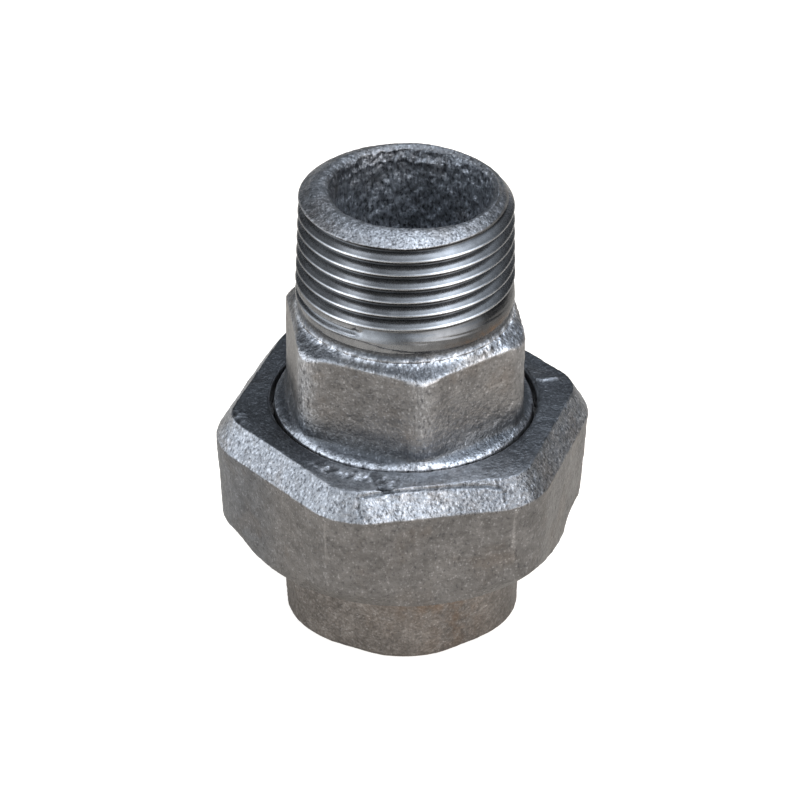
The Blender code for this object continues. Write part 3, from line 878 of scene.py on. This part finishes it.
def make_nut():
    nut = Loft(640, NUT_CORNER_DEG, nut_clip)
    nut.profile((NUT_MOUTH_R, NUT_BOTTOM), NUT_PROFILE, OUTSIDE)
    nut.thread(29.0, 15.15, 0.0, nut_thread, TURN_ROWS_PLAIN, skin=0.03)
    nut.close()
    points, radius, deg, z = nut.co, nut.radius, nut.angle, nut.z
    normal = nut.normals()
    up = normal[:, 2]
    outside = (nut.part == OUTSIDE) * 1.0
    top = smooth(0.80, 0.95, up) * outside * (radius < 30)
    bevel = smooth(0.25, 0.42, up) * (1 - smooth(0.75, 0.9, up)) * (z > 31) * outside

    patch, groove, sideways = bevel_patch(points, z)
    near = np.abs(wrap(deg - FACE)) < 31
    face = near * smooth(31.4, 32.2, z) * smooth(36.3, 36.0, z) * outside * (radius > 23)
    depth = face * (0.20 * patch - 0.24 * groove)

    # on the top face: low shapeless relief in two places, a raised bar, a nick in the edge
    zone = np.maximum(bell(deg, -20.5, 17.5, 4) * bell(radius, 22.7, 1.15, 4),
                      bell(deg, -77.5, 4.8, 4) * bell(radius, 25.8, 1.0, 4))
    flat_points = points * [1, 1, 0.3]
    crumple = noise(flat_points, 1.6, 74) + 0.35 * noise(flat_points, 0.8, 77)
    crease = smooth(0.34, 0.08, np.abs(crumple))
    marks, pits = zone * crease, zone * (1 - crease)
    bar = spot(points, 104.8, 23.0, size=0.42, stretch=4.9, turn=2)
    nick = spot(points, -6.0, 24.9, size=0.6, stretch=1.9, turn=90)
    # painted shade on the top face round the nick
    blotch = spot(points, -7.5, 24.1, size=0.8, stretch=1.3, turn=90)
    high = (z > 35.2) * outside
    depth += high * (0.30 * marks - 0.10 * pits + 0.30 * bar - 0.45 * nick)

    # thin upright lines on the front face and on the face to its left
    side = near * smooth(32.0, 31.4, z) * smooth(20.8, 22.6, z) * outside
    beside = ((np.abs(wrap(deg - FACE + 60)) < 31) * smooth(32.0, 31.4, z)
              * smooth(22.0, 24.5, z) * outside)
    part_line = np.maximum(side * bell(sideways, 12.0, 0.2),
                           beside * bell(along(points, FACE - 60), 12.1, 0.2))
    depth += 0.08 * part_line

    # the lip's hole is a little off centre, towards the back
    hole = outside * smooth(32.9, 33.5, z) * smooth(22.6, 20.9, radius)
    nut.co = points + normal * depth[:, None]
    nut.co[:, 1] += 0.52 * hole
    # the bevel's grain runs down the slope
    slope_points = nut.co * [1, 1, 0.42]
    slope_grain = 0.045 * noise(slope_points, 0.8, 75) + 0.05 * noise(slope_points, 1.5, 76)
    level = outside * (1 - bevel) * (1 - top)
    nut.push(cast_skin(nut, 21) + level * (z < 32) * peel(nut.co) + bevel * slope_grain)

    wear = edge_wear(nut, 29) * (1 - 0.5 * top)
    # painted light and shade on the top face by angle; painted highlights on the raised marks and
    # the bar, painted shade in the low relief
    top_tone = (1.12 * np.interp(deg, *TOP_TONE) * (1 + 1.3 * marks - 0.45 * pits + 2.4 * bar)
                * (1 - 0.6 * blotch))
    bright = 1 + (np.interp(deg, *BEVEL_TONE) - 1) * bevel + (top_tone - 1) * top
    # painted shade and a painted blue tint on the faces to the left
    left_side = 0.45 * level * smooth(-40, -62, deg) * smooth(-130, -100, deg)
    # lighter over the raised patch, fading to its right; painted highlight along the thin upright
    # lines
    bright = (bright * (1 + 0.12 * face * patch * smooth(9, 2, sideways))
              * (1 + 0.5 * part_line) * (1 - 0.18 * left_side))
    # painted shade in the groove round the patch, in the nick, and down the lip's hole where the gap
    # to the collar lies
    dirt = np.clip(0.9 * face * groove + nick * high + 0.7 * hole * (z < 35.7), 0, 1)
    return nut.mesh("nut", iron("iron_nut", seed=11.0),
                    **looks(nut, wear=wear, bright=bright, dirt=dirt,
                            spark=0.66 + 0.34 * bevel - 0.26 * top,
                            cool=0.5 * bevel + 0.5 * top + left_side))


# ------------------------------------------------------------------ female end
SEAT_INNER_R, SEAT_OUTER_R = 12.4, 21.8      # flat ring on top, where the seal lies
SEAT_Z = 27.3
SOCKET_R = 15.195                            # minor radius of the pipe socket

# Station rows: radius, z, fillet, kind, skin, spacing, hexness, corner
FEMALE_OUTSIDE = [
    (17.65, 0.0, 0.1, 0, 0.2, 0.4, 1, 13.5),
    (18.25, 0.65, 0.5, 0, 0.8, 0.26, 1, 13.5),
    (18.25, 12.9, 0.5, 0, 1.0, 0.27, 1, 13.5),
    (18.0, 13.3, 0.8, 0, 1.0, 0.3, 0.5, 13.5),
    (21.55, 16.5, 0, 0, 1.0, 0.4),
]
FEMALE_INSIDE = [
    (SEAT_INNER_R, SEAT_Z, 0.25, 1, 0.05, 1.4),
    (SEAT_INNER_R, 19.0, 0.3, 1, 0.1, 1.4),
    (SOCKET_R, 16.8, 0.2, 1, 0.1, 0.7),
    (SOCKET_R, 15.7, 0, 1, 0.05, 0.5),
]


def boss_thread(phi, z, x):
    """Outer thread that takes the nut, chamfered at the top."""
    chamfer = np.interp(z, [10, 24.7, SEAT_Z], [26, 26, 21.95])
    return soft_min(23.57 - thread_depth(x), chamfer, 0.08)


def socket_thread(phi, z, x):
    """Pipe thread in the socket, widened at the mouth."""
    mouth = np.interp(z, [0.0, 1.6, 60], [16.87, SOCKET_R, SOCKET_R])
    return soft_max(soft_max(PIPE_R - thread_depth(x), SOCKET_R, 0.06), mouth, 0.1)


def make_female():
    female = Loft(512, corner_deg=4.0)
    female.profile((16.95, 0.0), FEMALE_OUTSIDE, OUTSIDE)
    female.thread(17.0, 27.25, 0.0, boss_thread, TURN_ROWS_PLAIN, skin=0.03)
    female.profile((SEAT_OUTER_R, SEAT_Z), FEMALE_INSIDE, BORE)
    female.thread(15.6, 0.15, 0.0, socket_thread, TURN_ROWS_PLAIN, skin=0.03)
    female.close()
    z, deg = female.z, female.angle
    female.push(cast_skin(female, 41))
    wear = edge_wear(female, 49)
    stain = (female.part == OUTSIDE) * np.clip(
        bell(deg, 15, 20) * bell(z, 12, 4) + 0.6 * bell(deg, 30, 12) * bell(z, 5, 4), 0, 1)
    return female.mesh("female",
                       iron("iron_female", seed=17.0, cast=(0.252, 0.230, 0.213)),
                       **looks(female, wear=wear, rust=stain))


# ------------------------------------------------------------------ gasket
GASKET_BOTTOM, GASKET_TOP = 27.62, 29.58

# Station rows: radius, z, fillet, kind, skin, spacing
GASKET_PROFILE = [
    (SEAT_OUTER_R, GASKET_BOTTOM, 0.25, 0, 0.25, 0.8),
    (SEAT_OUTER_R, GASKET_TOP, 0.25, 0, 0.25, 0.4),
    (SEAT_INNER_R, GASKET_TOP, 0.25, 0, 0.25, 0.8),
    (SEAT_INNER_R, 27.9, 0, 0, 0.25, 0.4),
]


def make_gasket():
    gasket = Loft(256)
    gasket.profile((SEAT_INNER_R, GASKET_BOTTOM), GASKET_PROFILE, OUTSIDE)
    gasket.close()
    gasket.push(np.clip(cast_skin(gasket, 61), -0.05, 0.012))
    return gasket.mesh("seal_ring", rubber("rubber_seal"), kind=gasket.kind)


# maker, body it rides, piece it replaces, material slot
PIECES = (
    (make_female, "female_body", "female_end", "iron_female_end"),
    (make_gasket, "seal", "gasket", "gasket_rubber"),
    (make_tail, "tail", "male_tail", "iron_tail"),
    (make_nut, "nut", "union_nut", "iron_nut"),
)
for make, body, node, slot in PIECES:
    obj = make()
    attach(obj, body)
    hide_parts(node)


# ------------------------------------------------------------------ floor, light, camera
def make_floor():
    """Pale floor that the camera sees as nearly white, and that is clear from below."""
    half, z = 3.0, -0.00015          # metres
    mesh = bpy.data.meshes.new("floor")
    mesh.from_pydata([(-half, -half, z), (half, -half, z), (half, half, z), (-half, half, z)],
                     [], [(0, 1, 2, 3)])
    floor = link("floor", mesh)
    material = bpy.data.materials.new("floor_pale")
    tree = Nodes(material)
    diffuse = tree.shader("ShaderNodeBsdfDiffuse", {"Color": (0.66, 0.585, 0.50, 1)})
    glow = tree.shader("ShaderNodeEmission", {"Color": (1, 1, 1, 1), "Strength": 0.80})
    dark = tree.shader("ShaderNodeEmission", {"Color": (0, 0, 0, 1), "Strength": 0.0})
    lift = tree.shader("ShaderNodeMixShader", {0: tree.camera_ray(), 1: dark, 2: glow})
    lit = tree.shader("ShaderNodeAddShader", {0: diffuse, 1: lift})
    below = tree.make("ShaderNodeNewGeometry").outputs["Backfacing"]
    clear = tree.shader("ShaderNodeBsdfTransparent", {"Color": (1, 1, 1, 1)})
    tree.output(tree.shader("ShaderNodeMixShader", {0: below, 1: lit, 2: clear}))
    mesh.materials.append(material)


COOL, MILD, WARM = (0.88, 0.99, 1.13), (0.92, 0.99, 1.09), (1.06, 1.0, 0.94)
# Soft round lights: azimuth, elevation, inner and outer half angle, strength, colour
LIGHTS = (
    (-45, 36, 6, 44, 0.45, COOL),
    (45, 36, 6, 44, 1.80, COOL),
    (180, 6, 6, 44, 0.25, COOL),
    (-45, 6, 6, 44, 1.20, (0.94, 1.0, 1.06)),
    (-90, 6, 6, 44, 2.25, (0.92, 1.0, 1.10)),
    (45, 6, 6, 44, 2.10, WARM),
    (90, 66, 6, 44, 1.20, COOL),
    (70, 60, 4, 19, 2.50, (0.90, 0.99, 1.11)),
    (-83, 58, 3, 16, 3.30, MILD),
    (0, 72, 4, 22, 0.9, MILD),
    (180, 60, 4, 24, 2.30, COOL),
)
AMBIENT = (0.0, 0.0, 0.0)            # even light from all round


def direction(azimuth, elevation):
    a, e = math.radians(azimuth), math.radians(elevation)
    return (math.sin(a) * math.cos(e), -math.cos(a) * math.cos(e), math.sin(e))


def make_world():
    """Studio of soft lights, which the camera sees as plain white."""
    world = bpy.data.worlds.new("studio")
    bpy.context.scene.world = world
    tree = Nodes(world)
    ray = tree.make("ShaderNodeTexCoord").outputs["Generated"]
    light = None
    for azimuth, elevation, inner, outer, power, tint in LIGHTS:
        dot = tree.make("ShaderNodeVectorMath", {0: ray, 1: direction(azimuth, elevation)},
                        operation="DOT_PRODUCT").outputs["Value"]
        disc = tree.span(dot, math.cos(math.radians(outer)), math.cos(math.radians(inner)))
        glow = tree.scale(tuple(c * power for c in tint), disc)
        light = glow if light is None else tree.vector("ADD", light, glow)
    light = tree.vector("ADD", light, AMBIENT)
    seen = tree.shader("ShaderNodeBackground", {"Color": (1, 1, 1, 1), "Strength": 1.05})
    unseen = tree.shader("ShaderNodeBackground", {"Color": light, "Strength": 1.0})
    tree.output(tree.shader("ShaderNodeMixShader",
                            {0: tree.camera_ray(), 1: unseen, 2: seen}), "World")


def make_camera():
    """Long lens from the front and above, aimed at the middle of the union."""
    elevation, roll = math.radians(33.089), math.radians(0.778)
    distance, focus = 643.375, Vector((-0.475, 0, 35.832))
    back = Vector((0, -math.cos(elevation), math.sin(elevation)))
    right, up = Vector((1, 0, 0)), Vector((0, math.sin(elevation), math.cos(elevation)))
    x = math.cos(roll) * right + math.sin(roll) * up
    y = -math.sin(roll) * right + math.cos(roll) * up
    data = bpy.data.cameras.new("camera")
    data.sensor_width = 36.0
    data.lens = 186.46479
    data.shift_x, data.shift_y = -0.000625, 0.000625
    data.clip_start, data.clip_end = 0.05, 20
    camera = link("camera", data)
    pose = Matrix((x, y, back)).transposed().to_4x4()
    pose.translation = (focus + back * distance) * MM
    camera.matrix_world = pose
    bpy.context.scene.camera = camera


make_floor()
make_world()
make_camera()
bpy.context.scene.view_settings.view_transform = "Standard"
